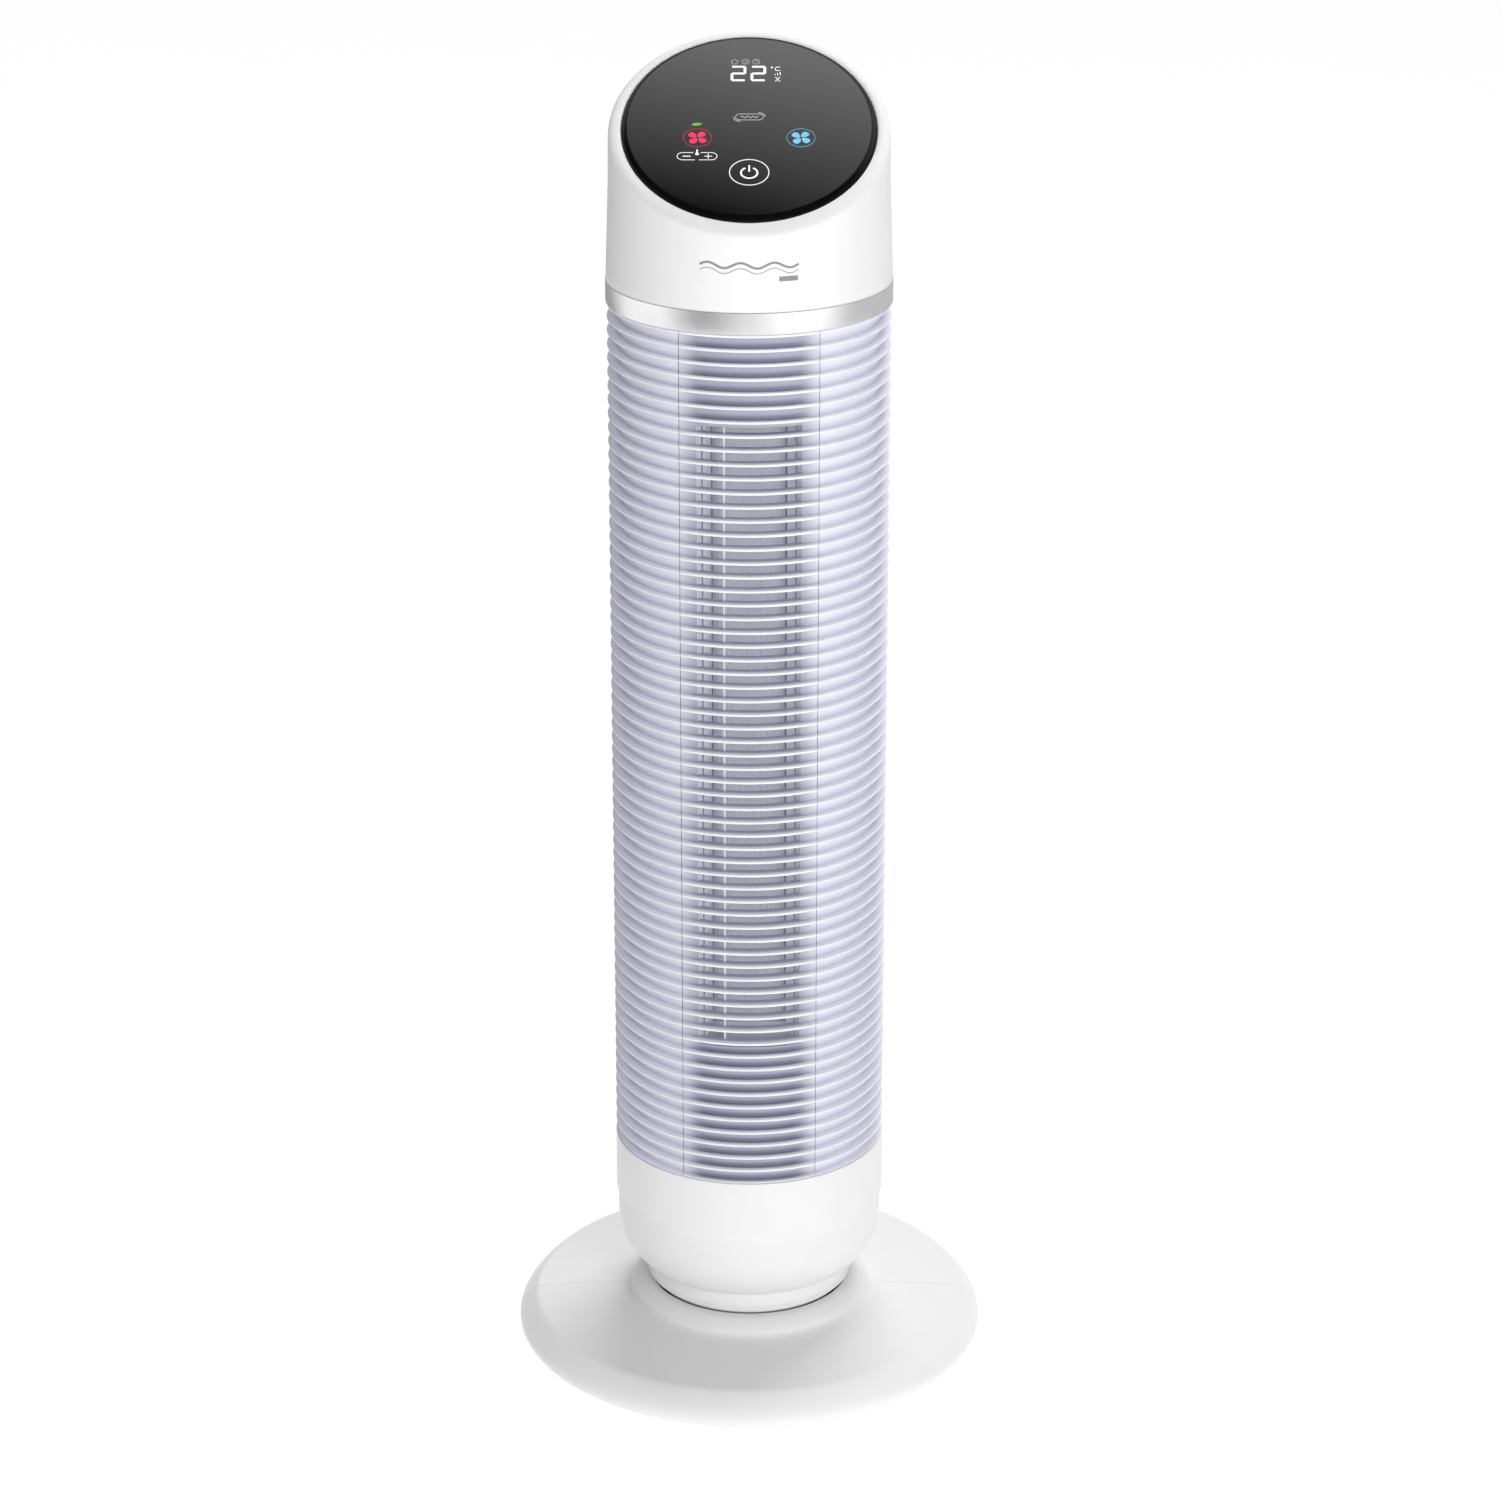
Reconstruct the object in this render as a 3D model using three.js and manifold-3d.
// A tower fan heater: a slatted column that swings on a round base, with a crossflow impeller inside.
// Millimetres. +Z is up, the origin is on the floor under the swivel axis, and the air leaves towards -Y.
// Azimuths are in degrees about +Z, from 0 at the front (-Y) towards +X.
import * as THREE from "three";
import { mergeVertices } from "three/addons/utils/BufferGeometryUtils.js";
import Module from "manifold-3d";

const wasm = await Module();
wasm.setup();

// ---------- Driving dimensions ----------

const GAP = 0.3; // between faces that meet
const RUNNING_GAP = 0.5; // between a turning piece and what holds it
const WALL = 2.6; // moulded casings
const SHELL_SIDES = 32; // facets round the large shells
const INNER_SIDES = 24; // facets round the large pieces inside
const SMALL_SIDES = 16; // facets round the small pieces

// Base
const FOOT = { count: 5, radius: 9, height: 2.2, inset: 33.9 };
const BASE = {
  radius: 158.9, // at the widest point of the rim
  rimZ: 9.2, // height of the widest point
  rimWidth: 14.5, // of the rounded rim outside the top face
  shoulderZ: 26.4, // where the top face turns into the rim
  topZ: 29.5, // at the collar
  undercurl: 7.2, // how far the rim turns back in underneath
  plate: 2.2,
};
const BALLAST = { collarDistance: 10.1, rimDistance: 26.9, height: 7 };
const BASE_SCREW = { count: 3, inset: 19.9, headRadius: 3.4, head: 1.5, radius: 1.8, length: 12 };
const GLAND = { radius: 6, flangeRadius: 6.9, flange: 2.4, bore: 3.8, rise: 2.8, length: 13 };

// Swivel
const NECK = { radius: 69.5, gap: 3.7, lip: 1.2, flare: 3.3, height: 8.9 }; // where the column meets the base
const COLLAR = { foot: 12.4, rise: 1.5, height: 9.5, wall: 2.5, flange: 5 }; // under the neck
const WEB = { rise: 0.5, thickness: 3, sleeve: 2.4 }; // the collar's floor, which carries the column
const HUB = { wall: 5.5, neckDistance: 7.5, flange: 3.1 };
const BEARING = { inset: 2, width: 18, height: 3.6 };
const GEAR = { hubTeeth: 42, pinionTeeth: 12, width: 6, sectorTeeth: 15, backlash: 0.5, rim: 6 };
const GEAR_ADDENDUM = 0.78; // in modules, short enough that the hub's teeth clear the pinion's roots
const GEAR_DEDENDUM = 1.25; // in modules
const PRESSURE_ANGLE = 20;
const SWIVEL_MOTOR = { radius: 14, height: 14, boss: 4.5, bossHeight: 1.4, shaft: 2, neckDistance: 1.5 };
const MOTOR_EARS = { length: 42, width: 7, thickness: 1 };

// Tip-over switch
const TIP_SWITCH = { neckDistance: 13.5, width: 20, depth: 12, height: 14 };
const PLUNGER = { radius: 3, length: 11 };

// Column
const COLUMN_RADIUS = 90.7; // over the slats
const CUP = { step: 1.1, bowlInset: 11.2, bowlHeight: 36.7, wallHeight: 18.1 };
const BAND = { step: 0.3, height: 40.7 }; // the plain ring above the cup
const SLAT = { count: 63, pitch: 9.2, thickness: 1.8, depth: 9.9, foot: 9.4 };
const PANEL = { ribDepth: 2.5, wall: 2.8 }; // the closed, ribbed panels
const GRILLE_PLATE = { overlap: 3.2, wall: 4 }; // the frame behind the open slats
const OUTLET = { halfAngle: 29, openHalfAngle: 20.8, bottomSlat: 52.5, topSlat: 3.5, facets: 3 };
const SIDE_END_AZIMUTH = 101.5; // where the side panels meet the rear grille
const INTAKE = { halfAngle: 30, bottomSlat: 57.5, topSlat: 3.5, rows: 4, columns: 11, slot: 4.5, border: 14 };
const FILTER_THICKNESS = 1.2;
const TRIM = { step: 0.7, rise: 1.4, height: 13.7, wall: 3 };

// Head
const HEAD = { bottomStep: 0.4, waistStep: -1.8, topStep: -2.3, waistHeight: 63.3 };
const LIP = { width: 8.2, rounding: 6 }; // of the head's rim round the glass
const FACE = { slope: 0.508, height: 96.2, glass: 3.2, bevel: 1.4, ledge: 6.2, ledgeDepth: 3 };
const BOARD = { depth: 12.4, thickness: 1.6, inset: 14.2 };
const CARRIER = { inset: 10.2, width: 10, height: 3.2 };
const DISPLAY = { x: 4.6, topDistance: 38, width: 40, height: 22 };

// Air path
const ROTOR = { x: 0, y: 14, radius: 42, blades: 14, blade: 1.3, bladeDepth: 9, bladeAngle: 25, disc: 3 };
const ROTOR_MID_DISCS = 1;
const AIR_PLATES = { bottomSlat: 58, topSlat: 1.9, thickness: 3 };
const ROTOR_END_GAP = 4; // between the impeller's end discs and the plates
const DUCT_WALL = 2.5;
const TONGUE_GAP = 4; // between the impeller and the tongue
const SCROLL_GAPS = [4, 12]; // at the start and the end of the scroll
const SCROLL_ANGLES = [20, 120]; // from the rear, round the impeller's +X side
const MOUTH = { azimuth: 22.9, inset: 0.6 }; // where the duct walls end behind the outlet
const VANE = { azimuth: -10, width: 1.8, depth: 5.7, bottomSlat: 52, topSlat: 6 };

// Heater
const HEATER = { sideGap: 3.5, depth: 20, bottomSlat: 52, topSlat: 5.5, frame: 3, cores: 3, fins: 4, fin: 2 };
const CUTOUT = { radius: 8, height: 8, rise: 12 };

// Drive
const FAN_MOTOR = { radius: 36, height: 40, bore: 4.6, mount: 3.4, mountInner: 20, mountOuter: 34 };
const SHAFT_RADIUS = 4;
const ROTOR_HUB = { radius: 11, height: 11.5 };
const PIN = { radius: 3, length: 32 };
const BUSH = { radius: 8, height: 9, grommet: 4 };

// Electronics in the foot of the column
const POWER_BOARD = { rise: 8.9, inset: 14.4, thickness: 1.6 };
const CAPACITOR = { x: 30, y: -20, radius: 9, height: 24 };
const REAR_SCREW = { azimuths: [150, 210], rise: 20.9, headRadius: 3.5, head: 2.2, radius: 1.8, length: 12 };

// ---------- Places that follow from the dimensions ----------

const rad = THREE.MathUtils.degToRad;

// Base and swivel
const baseBottomZ = FOOT.height + GAP;
const plateTopZ = baseBottomZ + BASE.plate;
const shoulderRadius = BASE.radius - BASE.rimWidth;
const collarFootRadius = NECK.radius + COLLAR.foot;
const collarFootZ = BASE.topZ + COLLAR.rise;
const collarTopZ = collarFootZ + COLLAR.height;
const webBottomZ = BASE.topZ + WEB.rise;
const webTopZ = webBottomZ + WEB.thickness;
const sleeveBottomZ = webBottomZ - WEB.sleeve;
const gearCentres = NECK.radius - SWIVEL_MOTOR.radius - SWIVEL_MOTOR.neckDistance;
const gearModule = (2 * gearCentres) / (GEAR.hubTeeth + GEAR.pinionTeeth);
const hubRadius = gearModule * (GEAR.hubTeeth / 2 - GEAR_DEDENDUM) - GEAR.rim;
const sleeveRadius = hubRadius + RUNNING_GAP;
const legRadius = NECK.radius + RUNNING_GAP;
const hubFlangeRadius = NECK.radius - HUB.neckDistance;
const bearingTopZ = webTopZ + GAP + BEARING.height;
const turntableZ = bearingTopZ + GAP;
const cupFloorZ = turntableZ + HUB.flange + GAP;
const gearTopZ = sleeveBottomZ - GAP;
const gearBottomZ = gearTopZ - GEAR.width;
const tipSwitchY = TIP_SWITCH.neckDistance - NECK.radius;
const motorTopZ = gearBottomZ - GAP - SWIVEL_MOTOR.bossHeight;
const plungerBore = PLUNGER.radius + GAP;

// Heights up the column
const neckBottomZ = collarTopZ + NECK.gap;
const foldZ = neckBottomZ + NECK.lip + NECK.height;
const bowlTopZ = foldZ + CUP.bowlHeight;
const splitZ = bowlTopZ + CUP.wallHeight;
const grilleBottomZ = splitZ + BAND.height;
const slatZ = (index) => grilleBottomZ + SLAT.foot + SLAT.pitch * (SLAT.count - 1 - index); // 0 is the top
const trimBottomZ = slatZ(0) + TRIM.rise;
const trimTopZ = trimBottomZ + TRIM.height;
const grilleTopZ = trimBottomZ - GAP;
const headBottomZ = trimTopZ + GAP;
const faceZ = trimTopZ + FACE.height;
const intakeBottomZ = slatZ(INTAKE.bottomSlat);
const intakeTopZ = slatZ(INTAKE.topSlat);
const airFloorZ = slatZ(AIR_PLATES.bottomSlat);
const airCeilingZ = slatZ(AIR_PLATES.topSlat);

// Radii across the column
const cupRadius = COLUMN_RADIUS - CUP.step;
const bandRadius = COLUMN_RADIUS + BAND.step;
const trimRadius = COLUMN_RADIUS + TRIM.step;
const foldRadius = NECK.radius - NECK.flare;
const bowlCentreRadius = foldRadius - CUP.bowlInset;
const valleyRadius = COLUMN_RADIUS - PANEL.ribDepth;
const panelInnerRadius = valleyRadius - PANEL.wall;
const slatInnerRadius = COLUMN_RADIUS - SLAT.depth;
const grillePlateOuter = slatInnerRadius + GRILLE_PLATE.overlap;
const grillePlateInner = grillePlateOuter - GRILLE_PLATE.wall;
const headTopRadius = COLUMN_RADIUS + HEAD.topStep;
const glassRadius = headTopRadius - LIP.width;
const airRadius = grillePlateInner * Math.cos(rad(OUTLET.halfAngle / OUTLET.facets)) - GAP;

// Angles and the sloping face
const gapAngle = THREE.MathUtils.radToDeg(GAP / slatInnerRadius);
const faceTilt = Math.atan(FACE.slope);
const faceLength = glassRadius / Math.cos(faceTilt);

// Air path and drive
const rotorBottomZ = airFloorZ + AIR_PLATES.thickness + ROTOR_END_GAP;
const rotorTopZ = airCeilingZ - ROTOR_END_GAP;
const mouthRadius = airRadius - MOUTH.inset;
const mouthX = mouthRadius * Math.sin(rad(MOUTH.azimuth));
const mouthY = -mouthRadius * Math.cos(rad(MOUTH.azimuth));
const motorMountZ = airFloorZ - GAP - FAN_MOTOR.mount;
const fanMotorZ = motorMountZ - GAP - FAN_MOTOR.height;

// ---------- Solids ----------

const points = (pairs) => pairs.map(([x, y]) => new THREE.Vector2(x, y));

// A closed geometry's position-only surface as a solid that can be cut and joined.
function solid(geometry) {
  const bare = new THREE.BufferGeometry();
  bare.setAttribute("position", geometry.getAttribute("position"));
  bare.setIndex(geometry.index);
  const merged = mergeVertices(bare, 1e-3);
  const corners = merged.index.array;
  const kept = [];
  for (let i = 0; i < corners.length; i += 3) {
    const [a, b, c] = corners.slice(i, i + 3);
    if (a !== b && b !== c && c !== a) kept.push(a, b, c);
  }
  const triVerts = new Uint32Array(kept);
  return new wasm.Manifold(
    new wasm.Mesh({ numProp: 3, vertProperties: merged.attributes.position.array, triVerts }),
  );
}

function geometryOf(body) {
  const mesh = body.getMesh();
  const geometry = new THREE.BufferGeometry();
  geometry.setAttribute("position", new THREE.BufferAttribute(mesh.vertProperties, 3));
  geometry.setIndex(new THREE.BufferAttribute(mesh.triVerts, 1));
  geometry.computeVertexNormals();
  return geometry;
}

const joined = (bodies) => bodies.reduce((whole, body) => whole.add(body));
const without = (body, cutters) => cutters.reduce((rest, cutter) => rest.subtract(cutter), body);

function counterClockwise(outline) {
  return THREE.ShapeUtils.area(outline) < 0 ? [...outline].reverse() : outline;
}
// A closed outline of [radius, z] pairs turned all the way round the Z axis.
function turned(pairs, sides = SMALL_SIDES) {
  const outline = counterClockwise(points(pairs));
  return solid(new THREE.LatheGeometry([...outline, outline[0]], sides).rotateX(Math.PI / 2));
}

// The same outline drawn straight and then bent round the axis from one azimuth to another, with flat ends.
function sector(pairs, from, to, steps) {
  const shape = new THREE.Shape(counterClockwise(points(pairs)));
  const straight = solid(new THREE.ExtrudeGeometry(shape, { depth: 1, steps, bevelEnabled: false }));
  return straight.warp((v) => {
    const azimuth = rad(THREE.MathUtils.lerp(to, from, v[2]));
    const [radius, z] = v;
    v[0] = radius * Math.sin(azimuth);
    v[1] = -radius * Math.cos(azimuth);
    v[2] = z;
  });
}

const block = (inner, outer, low, high) => [[inner, low], [outer, low], [outer, high], [inner, high]];
const disc = (radius, low, high, sides) => turned(block(0, radius, low, high), sides);
const tube = (inner, outer, low, high, sides) => turned(block(inner, outer, low, high), sides);

function box(width, depth, height, x, y, lowZ) {
  return solid(new THREE.BoxGeometry(width, depth, height).translate(x, y, lowZ + height / 2));
}

// A flat outline in plan, drawn up from lowZ.
function upright(outline, lowZ, height) {
  const shape = new THREE.Shape(counterClockwise(outline));
  const options = { depth: height, bevelEnabled: false };
  return solid(new THREE.ExtrudeGeometry(shape, options).translate(0, 0, lowZ));
}

// Points on an ellipse's arc, from one angle to another, in [radius, z] pairs.
function arc(centreRadius, centreZ, a, b, from, to, steps) {
  return Array.from({ length: steps + 1 }, (_, i) => {
    const angle = rad(from + ((to - from) * i) / steps);
    return [centreRadius + a * Math.cos(angle), centreZ + b * Math.sin(angle)];
  });
}

// A wall of constant thickness along a path in plan.
function ribbon(path, thickness) {
  const sides = [[], []];
  path.forEach((point, i) => {
    const before = path[Math.max(i - 1, 0)];
    const after = path[Math.min(i + 1, path.length - 1)];
    const along = after.clone().sub(before).normalize();
    const across = new THREE.Vector2(-along.y, along.x).multiplyScalar(thickness / 2);
    sides[0].push(point.clone().add(across));
    sides[1].unshift(point.clone().sub(across));
  });
  return sides.flat();
}

const group = new THREE.Group();

function material(color, roughness, metalness = 0) {
  return new THREE.MeshStandardMaterial({ color, roughness, metalness });
}

const FINISH = {
  white: () => material(0xf1f1ef, 0.25),
  lavender: () => material(0xdcdcee, 0.4),
  silver: () => material(0xc9cacc, 0.3, 0.9),
  blackGlass: () => material(0x0c0c0e, 0.08),
  rubber: () => material(0x1c1c1e, 0.85),
  acetal: () => material(0xe9e6dc, 0.45),
  steel: () => material(0xb4b7bb, 0.35, 1),
  castIron: () => material(0x55585c, 0.7, 0.6),
  greyPlastic: () => material(0xa9aab8, 0.5),
  darkPlastic: () => material(0x2b2c31, 0.5),
  circuitBoard: () => material(0x1f4a2e, 0.5),
  ceramic: () => material(0xb9a98c, 0.7),
  mica: () => material(0xcdb98f, 0.6),
};

function place(name, body, finish, parent = group) {
  const mesh = new THREE.Mesh(geometryOf(body), finish());
  mesh.name = name;
  parent.add(mesh);
  return mesh;
}

// ---------- Base ----------

function baseCover() {
  const { radius, rimZ, rimWidth, shoulderZ, topZ, undercurl } = BASE;
  const rimHeight = shoulderZ - rimZ;
  const lipRadius = radius - undercurl;
  const lipHeight = rimZ - baseBottomZ;
  const holeRadius = collarFootRadius + GAP;
  const outside = [
    ...arc(lipRadius, rimZ, undercurl, lipHeight, -90, 0, 2),
    ...arc(shoulderRadius, rimZ, rimWidth, rimHeight, 0, 90, 4).slice(1),
    [holeRadius, topZ],
  ];
  const inside = [
    [holeRadius, topZ - WALL],
    ...arc(shoulderRadius, rimZ, rimWidth - WALL, rimHeight - WALL, 90, 0, 3),
    ...arc(lipRadius, rimZ, undercurl - WALL, lipHeight - WALL, 0, -90, 2).slice(1),
  ];
  return turned([...outside, ...inside], SHELL_SIDES);
}

const glandAtRear = (body, end) => body.rotate([90, 0, 0]).translate([0, end, BASE.rimZ + GLAND.rise]);

function base() {
  const cover = baseCover();
  const half = 2 * BASE.radius;
  const frontHalf = box(2 * half, half, half, 0, half / 2 - GAP / 2, -half / 2);
  const rearHalf = box(2 * half, half, half, 0, -half / 2 + GAP / 2, -half / 2);
  const glandHole = glandAtRear(disc(GLAND.radius + GAP, 0, BASE.undercurl * 4), BASE.radius + GLAND.length);
  place("base_cover_front", cover.subtract(frontHalf), FINISH.white);
  place("base_cover_rear", without(cover, [rearHalf, glandHole]), FINISH.white);

  const screwPlaces = ring(BASE_SCREW.count, BASE.radius - BASE_SCREW.inset);
  const screwHole = disc(BASE_SCREW.radius + GAP, 0, 2 * plateTopZ, 8);
  const screwHoles = screwPlaces.map(([x, y]) => screwHole.translate([x, y, 0]));
  const plungerHole = disc(plungerBore, 0, 2 * plateTopZ).translate([0, tipSwitchY, 0]);
  const plateRadius = BASE.radius - BASE.undercurl - GAP;
  const plate = disc(plateRadius, baseBottomZ, plateTopZ, SHELL_SIDES);
  place("base_plate", without(plate, [...screwHoles, plungerHole]), FINISH.darkPlastic);
  const ballastZ = plateTopZ + GAP;
  const ballastInner = collarFootRadius + BALLAST.collarDistance;
  const ballastOuter = BASE.radius - BALLAST.rimDistance;
  const ballast = tube(ballastInner, ballastOuter, ballastZ, ballastZ + BALLAST.height, INNER_SIDES);
  place("base_ballast", ballast, FINISH.castIron);

  ring(FOOT.count, BASE.radius - FOOT.inset).forEach(([x, y], i) => {
    place(`foot_${i + 1}`, disc(FOOT.radius, 0, FOOT.height), FINISH.rubber).position.set(x, y, 0);
  });
  const headTop = FOOT.height;
  screwPlaces.forEach(([x, y], i) => {
    const screw = turned([
      [0, headTop - BASE_SCREW.head],
      [BASE_SCREW.headRadius, headTop - BASE_SCREW.head],
      [BASE_SCREW.headRadius, headTop],
      [BASE_SCREW.radius, headTop],
      [BASE_SCREW.radius, headTop + BASE_SCREW.length],
      [0, headTop + BASE_SCREW.length],
    ], 8);
    place(`base_screw_${i + 1}`, screw, FINISH.steel).position.set(x, y, 0);
  });

  const gland = turned([
    [GLAND.bore, 0],
    [GLAND.radius, 0],
    [GLAND.radius, GLAND.length - GLAND.flange],
    [GLAND.flangeRadius, GLAND.length - GLAND.flange],
    [GLAND.flangeRadius, GLAND.length],
    [GLAND.bore, GLAND.length],
  ]);
  place("cord_gland", glandAtRear(gland, BASE.radius), FINISH.rubber);
}

// Evenly spaced places on a circle, the first at the front.
function ring(count, radius) {
  return Array.from({ length: count }, (_, i) => {
    const azimuth = rad((360 * i) / count);
    return [radius * Math.sin(azimuth), -radius * Math.cos(azimuth)];
  });
}

// ---------- Swivel ----------

function collar() {
  const legOuter = legRadius + COLLAR.wall;
  const innerRadius = NECK.radius - COLLAR.wall;
  const flangeTop = BASE.topZ - WALL - 2 * GAP; // under the sloping cover
  const flangeBottom = flangeTop - COLLAR.wall;
  const shoulder = arc(NECK.radius, collarFootZ, COLLAR.foot, COLLAR.height, 0, 90, 4);
  return turned([
    [sleeveRadius, sleeveBottomZ],
    [sleeveRadius + WEB.thickness, sleeveBottomZ],
    [sleeveRadius + WEB.thickness, webBottomZ],
    [legRadius, webBottomZ],
    [legRadius, plateTopZ + GAP],
    [legOuter, plateTopZ + GAP],
    [legOuter, flangeBottom],
    [collarFootRadius + COLLAR.flange, flangeBottom],
    [collarFootRadius + COLLAR.flange, flangeTop],
    [collarFootRadius, flangeTop],
    ...shoulder,
    [innerRadius, collarTopZ],
    [innerRadius, webTopZ],
    [sleeveRadius, webTopZ],
  ], SHELL_SIDES);
}

function turntable() {
  const bore = hubRadius - HUB.wall;
  return turned([
    [bore, gearBottomZ - GAP],
    [hubRadius, gearBottomZ - GAP],
    [hubRadius, turntableZ],
    [hubFlangeRadius, turntableZ],
    [hubFlangeRadius, turntableZ + HUB.flange],
    [bore, turntableZ + HUB.flange],
  ], INNER_SIDES);
}

// One involute tooth in plan, centred on the angle, from root to root. Angles are about the gear's own axis.
function tooth(teeth, centre) {
  const pitchRadius = (gearModule * teeth) / 2;
  const baseRadius = pitchRadius * Math.cos(rad(PRESSURE_ANGLE));
  const rootRadius = pitchRadius - GEAR_DEDENDUM * gearModule;
  const tipRadius = pitchRadius + GEAR_ADDENDUM * gearModule;
  const involute = (radius) => {
    const roll = Math.sqrt(Math.max((radius / baseRadius) ** 2 - 1, 0));
    return roll - Math.atan(roll);
  };
  const halfAtPitch = ((Math.PI * gearModule - GEAR.backlash) / 4) / pitchRadius;
  const halfAngle = (radius) => halfAtPitch + involute(pitchRadius) - involute(radius);
  const flank = [rootRadius, Math.max(baseRadius, rootRadius), pitchRadius, tipRadius];
  const at = (radius, angle) => new THREE.Vector2(radius * Math.sin(angle), -radius * Math.cos(angle));
  const rising = flank.map((radius) => at(radius, centre - halfAngle(radius)));
  const falling = [...flank].reverse().map((radius) => at(radius, centre + halfAngle(radius)));
  return [...rising, ...falling];
}

// The toothed sector on the column's hub, which also holds the column down. Its teeth face the rear.
function hubGear() {
  const pitchAngle = (2 * Math.PI) / GEAR.hubTeeth;
  const rootRadius = hubRadius + GEAR.rim;
  const reach = (GEAR.sectorTeeth - 1) / 2;
  const outline = [];
  for (let i = -reach; i <= reach; i += 1) {
    outline.push(...tooth(GEAR.hubTeeth, Math.PI + i * pitchAngle));
  }
  const end = Math.PI + (reach + 0.5) * pitchAngle;
  const plainAngle = 2 * Math.PI - 2 * (reach + 0.5) * pitchAngle;
  const plainSteps = 8;
  for (let i = 0; i <= plainSteps; i += 1) {
    const angle = end + (plainAngle * i) / plainSteps;
    outline.push(new THREE.Vector2(rootRadius * Math.sin(angle), -rootRadius * Math.cos(angle)));
  }
  const bore = disc(hubRadius + GAP, 0, 2 * gearTopZ, INNER_SIDES);
  return upright(outline, gearBottomZ, GEAR.width).subtract(bore);
}

function pinion() {
  const pitchAngle = (2 * Math.PI) / GEAR.pinionTeeth;
  const outline = [];
  for (let i = 0; i < GEAR.pinionTeeth; i += 1) {
    outline.push(...tooth(GEAR.pinionTeeth, (i + 0.5) * pitchAngle));
  }
  const bore = disc(SWIVEL_MOTOR.shaft + GAP, -GEAR.width, 2 * GEAR.width, 8);
  return upright(outline, 0, GEAR.width).subtract(bore);
}

function swivel() {
  place("base_collar", collar(), FINISH.white);
  const bearingRadius = hubFlangeRadius - BEARING.inset;
  const bearing = tube(bearingRadius - BEARING.width, bearingRadius, webTopZ + GAP, bearingTopZ, INNER_SIDES);
  place("swivel_bearing", bearing, FINISH.acetal);
  place("turntable", turntable(), FINISH.acetal);
  place("swivel_gear", hubGear(), FINISH.acetal);

  const drive = new THREE.Group();
  drive.position.set(0, gearCentres, 0);
  group.add(drive);
  place("swivel_pinion", pinion(), FINISH.acetal, drive).position.z = gearBottomZ;
  const shaftBottomZ = motorTopZ - SWIVEL_MOTOR.height / 2;
  place("swivel_motor_shaft", disc(SWIVEL_MOTOR.shaft, shaftBottomZ, gearTopZ, 8), FINISH.steel, drive);
  const can = disc(SWIVEL_MOTOR.radius, motorTopZ - SWIVEL_MOTOR.height + GAP, motorTopZ);
  const earZ = motorTopZ - MOTOR_EARS.thickness;
  const boss = disc(SWIVEL_MOTOR.boss, earZ, motorTopZ + SWIVEL_MOTOR.bossHeight);
  const ears = box(MOTOR_EARS.length, MOTOR_EARS.width, MOTOR_EARS.thickness, 0, 0, earZ);
  const bore = disc(SWIVEL_MOTOR.shaft + GAP, shaftBottomZ - GAP, motorTopZ + 2 * SWIVEL_MOTOR.bossHeight, 8);
  place("swivel_motor", without(joined([can, boss, ears]), [bore]), FINISH.steel, drive);
}

function tipSwitch() {
  const switchGroup = new THREE.Group();
  switchGroup.position.y = tipSwitchY;
  group.add(switchGroup);
  const floor = plateTopZ + GAP;
  const housing = box(TIP_SWITCH.width, TIP_SWITCH.depth, TIP_SWITCH.height, 0, 0, floor);
  const bore = disc(plungerBore, 0, PLUNGER.length + 2 * GAP);
  place("tip_switch", housing.subtract(bore), FINISH.darkPlastic, switchGroup);
  place("tip_plunger", disc(PLUNGER.radius, 0, PLUNGER.length), FINISH.darkPlastic, switchGroup);
}

// ---------- Column casing ----------

function lowerCup() {
  const bowlWidth = cupRadius - bowlCentreRadius;
  const foldAngle = THREE.MathUtils.radToDeg(Math.acos(CUP.bowlInset / bowlWidth));
  const bowlHeight = CUP.bowlHeight / Math.sin(rad(foldAngle));
  const innerWidth = bowlWidth - WALL;
  const flare = arc(NECK.radius, foldZ, NECK.flare, NECK.height, -90, -180, 2);
  const bowl = arc(bowlCentreRadius, bowlTopZ, bowlWidth, bowlHeight, -foldAngle, 0, 5);
  const bowlInside = arc(bowlCentreRadius, bowlTopZ, innerWidth, bowlHeight - WALL, 0, -foldAngle, 4);
  const rimTop = splitZ - GAP / 2;
  const recess = hubFlangeRadius + RUNNING_GAP;
  return turned([
    [hubRadius - HUB.wall, cupFloorZ],
    [recess, cupFloorZ],
    [recess, neckBottomZ],
    [NECK.radius, neckBottomZ],
    ...flare,
    ...bowl.slice(1),
    [cupRadius, rimTop],
    [cupRadius - WALL, rimTop],
    ...bowlInside,
    [recess - WALL, neckBottomZ + WALL],
    [hubRadius - HUB.wall, neckBottomZ + WALL],
  ], SHELL_SIDES);
}

// The ribbed outline of a closed panel between two heights: a ridge at each slat, a valley between them.
function ribbedOutline(low, high) {
  const outline = [[valleyRadius, low]];
  for (let i = SLAT.count - 1; i >= 0; i -= 1) {
    const z = slatZ(i);
    if (z - SLAT.pitch / 2 > low && z < high) {
      outline.push([valleyRadius, z - SLAT.pitch / 2]);
      outline.push([COLUMN_RADIUS, z]);
    }
  }
  outline.push([valleyRadius, high], [panelInnerRadius, high], [panelInnerRadius, low]);
  return outline;
}

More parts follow.
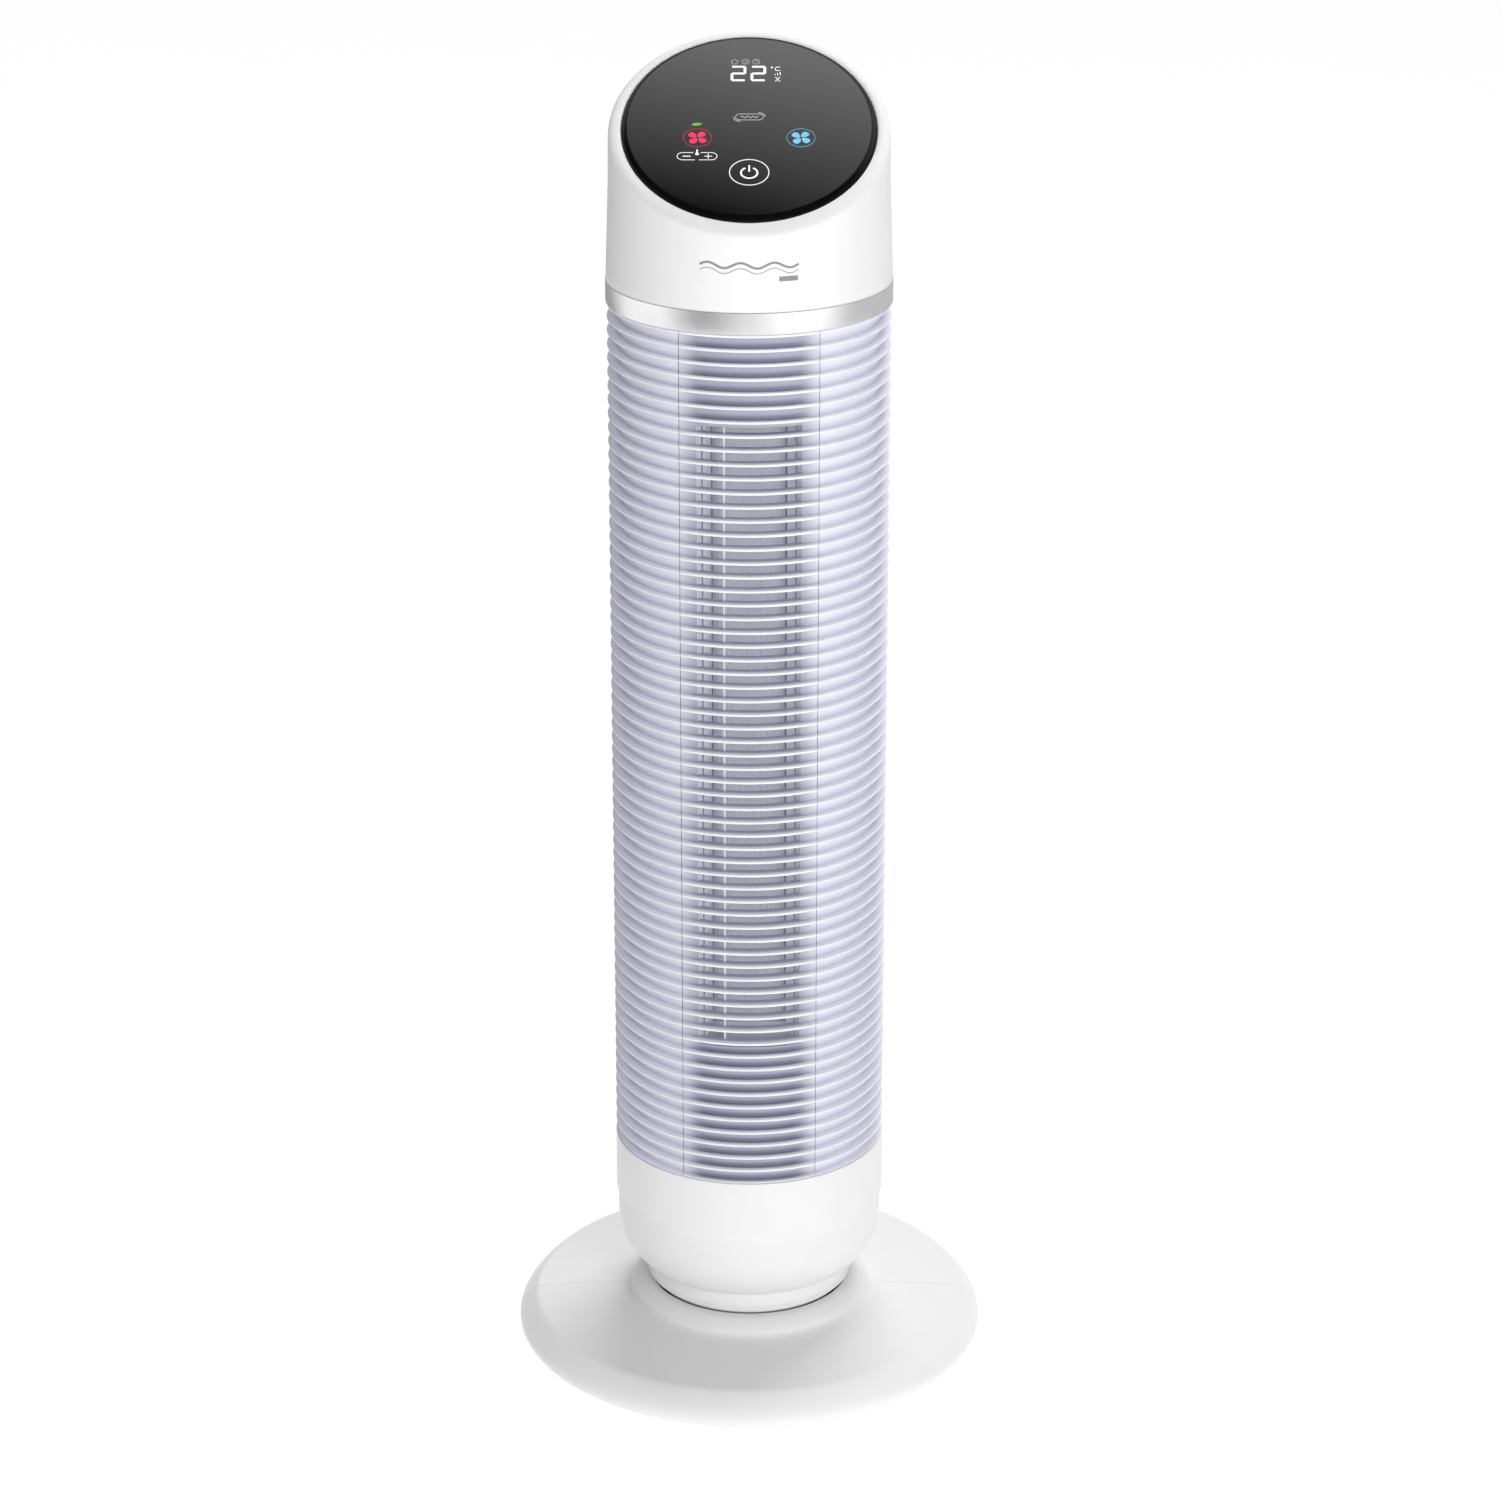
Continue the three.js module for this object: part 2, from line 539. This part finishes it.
// Open slats carried by a curved plate behind them. Each window is [from, to, low, high].
function slattedGrille(from, to, low, high, steps, windows) {
  const plate = sector(block(grillePlateInner, grillePlateOuter, low, high), from, to, steps);
  const holes = windows.map(([start, end, bottom, top]) =>
    sector(block(grillePlateInner - WALL, grillePlateOuter + WALL, bottom, top), start, end, steps));
  const slats = [];
  for (let i = 0; i < SLAT.count; i += 1) {
    const z = slatZ(i);
    const half = SLAT.thickness / 2;
    if (z - half >= low && z + half <= high) {
      const section = [[COLUMN_RADIUS, z - half], [COLUMN_RADIUS, z + half], [slatInnerRadius, z]];
      slats.push(sector(section, from, to, steps));
    }
  }
  return joined([without(plate, holes), ...slats]);
}

function outletGrille() {
  const edge = OUTLET.halfAngle - gapAngle / 2;
  const open = OUTLET.openHalfAngle;
  const window = [-open, open, slatZ(OUTLET.bottomSlat), slatZ(OUTLET.topSlat)];
  return slattedGrille(-edge, edge, grilleBottomZ, grilleTopZ, OUTLET.facets, [window]);
}

// A curved sheet that fills the intake opening between two radii.
function intakeSheet(inner, outer) {
  const edge = INTAKE.halfAngle - gapAngle;
  return sector(block(inner, outer, intakeBottomZ + GAP, intakeTopZ - GAP), 180 - edge, 180 + edge, 3);
}

function dustFilter() {
  const outer = COLUMN_RADIUS - WALL - GAP;
  return intakeSheet(outer - FILTER_THICKNESS, outer);
}

// The door over the dust filter: a curved plate with rows of upright slots.
function intakeCover() {
  const edge = INTAKE.halfAngle - gapAngle;
  const low = intakeBottomZ + GAP;
  const high = intakeTopZ - GAP;
  const plate = intakeSheet(COLUMN_RADIUS - WALL, COLUMN_RADIUS);
  const rowHeight = (high - low - INTAKE.border) / INTAKE.rows;
  const borderAngle = THREE.MathUtils.radToDeg(INTAKE.border / COLUMN_RADIUS);
  const columnAngle = (2 * (edge - borderAngle)) / (INTAKE.columns - 1);
  const slots = [];
  for (let row = 0; row < INTAKE.rows; row += 1) {
    const slotZ = low + INTAKE.border + row * rowHeight;
    for (let column = 0; column < INTAKE.columns; column += 1) {
      const azimuth = 180 - edge + borderAngle + column * columnAngle;
      const cutter = box(INTAKE.slot, 4 * WALL, rowHeight - INTAKE.border, 0, -COLUMN_RADIUS, slotZ);
      slots.push(cutter.rotate([0, 0, azimuth]));
    }
  }
  return without(plate, slots);
}

function rearGrille() {
  const start = SIDE_END_AZIMUTH + gapAngle;
  const full = ribbedOutline(grilleBottomZ, grilleTopZ);
  const overlap = 0.6;
  const doorStart = 180 - INTAKE.halfAngle;
  const doorEnd = 180 + INTAKE.halfAngle;
  const across = [doorStart - overlap, doorEnd + overlap, 2];
  return joined([
    sector(full, start, doorStart, 2),
    sector(full, doorEnd, 360 - start, 2),
    sector(ribbedOutline(grilleBottomZ, intakeBottomZ), ...across),
    sector(ribbedOutline(intakeTopZ, grilleTopZ), ...across),
  ]);
}

function columnCasing() {
  place("lower_cup", lowerCup(), FINISH.white);
  const bandBottom = splitZ + GAP / 2;
  const bandTop = grilleBottomZ - GAP;
  const screwZ = splitZ + REAR_SCREW.rise;
  const screwHoles = REAR_SCREW.azimuths.map((azimuth) =>
    radial(disc(REAR_SCREW.headRadius + GAP, -4 * WALL, 2 * WALL), azimuth, bandRadius, screwZ));
  const band = tube(bandRadius - WALL, bandRadius, bandBottom, bandTop, SHELL_SIDES);
  place("lower_body_ring", without(band, screwHoles), FINISH.white);
  REAR_SCREW.azimuths.forEach((azimuth, i) => {
    const screw = turned([
      [0, -REAR_SCREW.length],
      [REAR_SCREW.radius, -REAR_SCREW.length],
      [REAR_SCREW.radius, -REAR_SCREW.head],
      [REAR_SCREW.headRadius, -REAR_SCREW.head],
      [REAR_SCREW.headRadius, 0],
      [0, 0],
    ], 12);
    place(`rear_screw_${i + 1}`, radial(screw, azimuth, bandRadius - GAP, screwZ), FINISH.steel);
  });

  const sideStart = OUTLET.halfAngle + gapAngle / 2;
  const side = ribbedOutline(grilleBottomZ, grilleTopZ);
  place("outlet_grille", outletGrille(), FINISH.lavender);
  place("side_panel_right", sector(side, sideStart, SIDE_END_AZIMUTH, 3), FINISH.lavender);
  place("side_panel_left", sector(side, 360 - SIDE_END_AZIMUTH, 360 - sideStart, 3), FINISH.lavender);
  place("rear_grille", rearGrille(), FINISH.lavender);
  place("intake_cover", intakeCover(), FINISH.lavender);
  place("dust_filter", dustFilter(), FINISH.darkPlastic);
  const trim = tube(trimRadius - TRIM.wall, trimRadius, trimBottomZ, trimTopZ, SHELL_SIDES);
  place("trim_ring", trim, FINISH.silver);
}

// A body made along +Z, laid along the outward radius at an azimuth with its z = 0 at the given radius.
function radial(body, azimuth, radius, z) {
  return body.rotate([90, 0, 0]).translate([0, -radius, z]).rotate([0, 0, azimuth]);
}

// ---------- Head ----------

// A puck whose flat top lies in the sloping face, sunk by depth, with a rounded top edge and a flared skirt.
function slopingPuck(radius, depth, rounding) {
  const low = -2 * faceZ;
  const edge = rounding > 0
    ? arc(radius - rounding, -depth - rounding, rounding, rounding, 0, 90, 4)
    : [[radius, -depth]];
  const skirt = 2 * LIP.rounding;
  const side = [[radius + skirt, low], [radius + skirt, -depth - 4 * skirt]];
  return turned([[0, low], ...side, ...edge, [0, -depth]], SHELL_SIDES).warp((v) => {
    v[2] += faceZ + FACE.slope * v[1];
  });
}

// The head's outer wall moved inwards by inset, closed at the top well above the sloping face.
function headWall(inset, low) {
  const high = faceZ + 2 * headTopRadius;
  return turned([
    [0, low],
    [COLUMN_RADIUS + HEAD.bottomStep - inset, low],
    [COLUMN_RADIUS + HEAD.waistStep - inset, trimTopZ + HEAD.waistHeight],
    [headTopRadius - inset, high],
    [0, high],
  ], SHELL_SIDES);
}

// An elliptical plate parallel to the sloping face, in the face's own frame.
function faceShape(radius) {
  const ellipse = new THREE.EllipseCurve(0, 0, radius, radius / Math.cos(faceTilt));
  return ellipse.getPoints(SHELL_SIDES).slice(0, -1);
}

function facePlate(radius, top, bottom) {
  return upright(faceShape(radius), -bottom, bottom - top);
}

const ontoFace = (body) => body.rotate([THREE.MathUtils.radToDeg(faceTilt), 0, 0]).translate([0, 0, faceZ]);

function headShell() {
  const lipRadius = COLUMN_RADIUS + HEAD.waistStep + GAP;
  const outside = headWall(0, headBottomZ).intersect(slopingPuck(lipRadius, 0, LIP.rounding));
  const roofDepth = FACE.glass + FACE.ledgeDepth;
  const underRoof = slopingPuck(COLUMN_RADIUS, roofDepth / Math.cos(faceTilt), 0);
  const cavity = headWall(WALL, headBottomZ - WALL).intersect(underRoof);
  const recess = ontoFace(facePlate(glassRadius + GAP, -2 * roofDepth, FACE.glass + GAP));
  const opening = ontoFace(facePlate(glassRadius - FACE.ledge, 0, 2 * roofDepth));
  return without(outside, [cavity, recess, opening]);
}

function glassPanel() {
  const shape = new THREE.Shape(faceShape(glassRadius - FACE.bevel));
  const options = {
    depth: FACE.glass - 2 * FACE.bevel,
    bevelThickness: FACE.bevel,
    bevelSize: FACE.bevel,
    bevelSegments: 1,
  };
  return solid(new THREE.ExtrudeGeometry(shape, options).translate(0, 0, -FACE.glass + FACE.bevel));
}

function head() {
  place("head_shell", headShell(), FINISH.white);
  const face = new THREE.Group();
  face.position.z = faceZ;
  face.rotation.x = faceTilt;
  group.add(face);
  place("glass_panel", glassPanel(), FINISH.blackGlass, face);
  const boardBottom = BOARD.depth + BOARD.thickness;
  const board = facePlate(glassRadius - BOARD.inset, BOARD.depth, boardBottom);
  place("touch_board", board, FINISH.circuitBoard, face);
  const displayTop = FACE.glass + GAP;
  const displayHeight = BOARD.depth - GAP - displayTop;
  const displayY = faceLength - DISPLAY.topDistance;
  const display = box(DISPLAY.width, DISPLAY.height, displayHeight, DISPLAY.x, displayY, -BOARD.depth + GAP);
  place("led_display", display, FINISH.darkPlastic, face);
  const carrierTop = boardBottom + GAP;
  const carrierBottom = carrierTop + CARRIER.height;
  const carrierRadius = glassRadius - CARRIER.inset;
  const carrierHole = facePlate(carrierRadius - CARRIER.width, carrierTop - WALL, carrierBottom + WALL);
  const carrier = facePlate(carrierRadius, carrierTop, carrierBottom).subtract(carrierHole);
  place("board_carrier", carrier, FINISH.greyPlastic, face);
}

// ---------- Air path, heater and drive ----------

function scrollPath() {
  const steps = 7;
  const path = [];
  for (let i = 0; i <= steps; i += 1) {
    const share = i / steps;
    const angle = rad(THREE.MathUtils.lerp(...SCROLL_ANGLES, share));
    const radius = ROTOR.radius + DUCT_WALL / 2 + THREE.MathUtils.lerp(...SCROLL_GAPS, share);
    path.push(new THREE.Vector2(ROTOR.x + radius * Math.sin(angle), ROTOR.y + radius * Math.cos(angle)));
  }
  const mouth = new THREE.Vector2(mouthX, mouthY);
  const turn = new THREE.Vector2(mouthX + DUCT_WALL, THREE.MathUtils.lerp(mouthY, ROTOR.y, 0.3));
  return [...path, turn, mouth];
}

function tonguePath() {
  const radius = ROTOR.radius + DUCT_WALL / 2 + TONGUE_GAP;
  const nearest = rad(SCROLL_ANGLES[1] + 10);
  const tip = new THREE.Vector2(ROTOR.x - radius * Math.sin(nearest), ROTOR.y + radius * Math.cos(nearest));
  const mouth = new THREE.Vector2(-mouthX, mouthY);
  const shoulder = new THREE.Vector2(-mouthX - DUCT_WALL / 2, THREE.MathUtils.lerp(mouthY, tip.y, 0.7));
  const lip = tip.clone().add(new THREE.Vector2(-3 * DUCT_WALL, 2 * DUCT_WALL));
  return [mouth, shoulder, tip, lip];
}

function airPath() {
  const floorTop = airFloorZ + AIR_PLATES.thickness;
  const shaftHole = disc(ROTOR_HUB.radius, airFloorZ - WALL, floorTop + WALL);
  const floor = disc(airRadius, airFloorZ, floorTop, INNER_SIDES);
  place("duct_floor", floor.subtract(shaftHole.translate([ROTOR.x, ROTOR.y, 0])), FINISH.greyPlastic);
  const grommetOuter = BUSH.radius + GAP + BUSH.grommet;
  const ceilingTop = airCeilingZ + AIR_PLATES.thickness;
  const bushHole = disc(grommetOuter + GAP, airCeilingZ - WALL, ceilingTop + WALL);
  const ceiling = disc(airRadius, airCeilingZ, ceilingTop, INNER_SIDES);
  place("duct_ceiling", ceiling.subtract(bushHole.translate([ROTOR.x, ROTOR.y, 0])), FINISH.greyPlastic);
  const low = floorTop + GAP;
  const height = airCeilingZ - GAP - low;
  place("duct_scroll", upright(ribbon(scrollPath(), DUCT_WALL), low, height), FINISH.greyPlastic);
  place("duct_tongue", upright(ribbon(tonguePath(), DUCT_WALL), low, height), FINISH.greyPlastic);
  const vaneZ = slatZ(VANE.bottomSlat);
  const vaneY = GAP + VANE.depth / 2 - grillePlateInner;
  const vane = box(VANE.width, VANE.depth, slatZ(VANE.topSlat) - vaneZ, 0, vaneY, vaneZ);
  place("outlet_vane", vane, FINISH.white).rotation.z = rad(VANE.azimuth);
}

function heater() {
  const { depth, frame, cores, fins, fin } = HEATER;
  const width = 2 * (mouthX - HEATER.sideGap);
  const bottomZ = slatZ(HEATER.bottomSlat);
  const topZ = slatZ(HEATER.topSlat);
  const heaterGroup = new THREE.Group();
  heaterGroup.position.y = (mouthY + ROTOR.y - ROTOR.radius) / 2;
  group.add(heaterGroup);
  const openWidth = width - 2 * frame;
  const outer = box(width, depth, topZ - bottomZ, 0, 0, bottomZ);
  const inner = box(openWidth, 2 * depth, topZ - bottomZ - 2 * frame, 0, 0, bottomZ + frame);
  place("heater_frame", outer.subtract(inner), FINISH.mica, heaterGroup);
  const coreHeight = (topZ - bottomZ - 2 * frame - GAP) / cores - GAP;
  const coreWidth = openWidth - 2 * GAP;
  const coreDepth = depth - 2 * frame;
  const slotWidth = (coreWidth - (fins + 1) * fin) / fins;
  for (let i = 0; i < cores; i += 1) {
    const core = box(coreWidth, coreDepth, coreHeight, 0, 0, 0);
    const slots = Array.from({ length: fins }, (_, j) => {
      const x = -coreWidth / 2 + fin + slotWidth / 2 + j * (slotWidth + fin);
      return box(slotWidth, 2 * coreDepth, coreHeight - 4 * fin, x, 0, 2 * fin);
    });
    const mesh = place(`heater_core_${i + 1}`, without(core, slots), FINISH.ceramic, heaterGroup);
    mesh.position.z = bottomZ + frame + GAP + i * (coreHeight + GAP);
  }
  const cutout = disc(CUTOUT.radius, 0, CUTOUT.height).rotate([-90, 0, 0]);
  const cutoutMesh = place("thermal_cutout", cutout, FINISH.steel, heaterGroup);
  cutoutMesh.position.set(0, coreDepth / 2 + GAP, bottomZ + CUTOUT.rise);
}

function impellerBody() {
  const rimWidth = ROTOR.bladeDepth + ROTOR.disc;
  const innerRadius = ROTOR.radius - rimWidth;
  const sides = 24;
  const height = rotorTopZ - rotorBottomZ;
  const bottom = tube(ROTOR_HUB.radius + GAP, ROTOR.radius, 0, ROTOR.disc, sides);
  const top = tube(PIN.radius + GAP, ROTOR.radius, height - ROTOR.disc, height, sides);
  const rings = Array.from({ length: ROTOR_MID_DISCS }, (_, i) => {
    const z = (height * (i + 1)) / (ROTOR_MID_DISCS + 1);
    return tube(innerRadius, ROTOR.radius, z, z + ROTOR.disc, sides);
  });
  const middle = ROTOR.radius - ROTOR.disc / 2 - ROTOR.bladeDepth / 2;
  const blades = Array.from({ length: ROTOR.blades }, (_, i) =>
    box(ROTOR.blade, ROTOR.bladeDepth, height - ROTOR.disc, 0, 0, ROTOR.disc / 2)
      .rotate([0, 0, ROTOR.bladeAngle])
      .translate([0, -middle, 0])
      .rotate([0, 0, (360 * i) / ROTOR.blades]));
  return joined([bottom, top, ...rings, ...blades]);
}

function drive() {
  const axis = new THREE.Group();
  axis.position.set(ROTOR.x, ROTOR.y, 0);
  group.add(axis);
  place("impeller", impellerBody(), FINISH.greyPlastic, axis).position.z = rotorBottomZ;
  const hubLow = rotorBottomZ - ROTOR_END_GAP / 2;
  const hub = tube(SHAFT_RADIUS + GAP, ROTOR_HUB.radius, hubLow, hubLow + ROTOR_HUB.height);
  place("impeller_hub", hub, FINISH.rubber, axis);
  const shaft = disc(SHAFT_RADIUS, fanMotorZ - GAP, hubLow + ROTOR_HUB.height, 12);
  place("motor_shaft", shaft, FINISH.steel, axis);
  const pinTop = airCeilingZ + AIR_PLATES.thickness + BUSH.height / 2;
  place("impeller_pin", disc(PIN.radius, pinTop - PIN.length, pinTop, 12), FINISH.steel, axis);

  const bushLow = airCeilingZ - (BUSH.height - AIR_PLATES.thickness) / 2;
  const bush = tube(PIN.radius + GAP, BUSH.radius, bushLow, bushLow + BUSH.height, 12);
  place("upper_bearing", bush, FINISH.steel, axis);
  const grommetInner = BUSH.radius + GAP;
  const grommet = tube(grommetInner, grommetInner + BUSH.grommet, bushLow, bushLow + BUSH.height);
  place("bearing_grommet", grommet, FINISH.rubber, axis);
  const motor = tube(FAN_MOTOR.bore, FAN_MOTOR.radius, fanMotorZ, fanMotorZ + FAN_MOTOR.height, INNER_SIDES);
  place("fan_motor", motor, FINISH.steel, axis);
  const mountTop = motorMountZ + FAN_MOTOR.mount;
  const mount = tube(FAN_MOTOR.mountInner, FAN_MOTOR.mountOuter, motorMountZ, mountTop, INNER_SIDES);
  place("motor_mount", mount, FINISH.rubber, axis);
}

function electronics() {
  const boardZ = splitZ + POWER_BOARD.rise;
  const boardTop = boardZ + POWER_BOARD.thickness;
  const boardRadius = bandRadius - WALL - POWER_BOARD.inset;
  place("power_board", disc(boardRadius, boardZ, boardTop, INNER_SIDES), FINISH.circuitBoard);
  const capacitor = disc(CAPACITOR.radius, 0, CAPACITOR.height);
  const capacitorMesh = place("board_capacitor", capacitor, FINISH.darkPlastic);
  capacitorMesh.position.set(CAPACITOR.x, CAPACITOR.y, boardTop + GAP);
}

base();
swivel();
tipSwitch();
columnCasing();
head();
airPath();
heater();
drive();
electronics();

export default group;
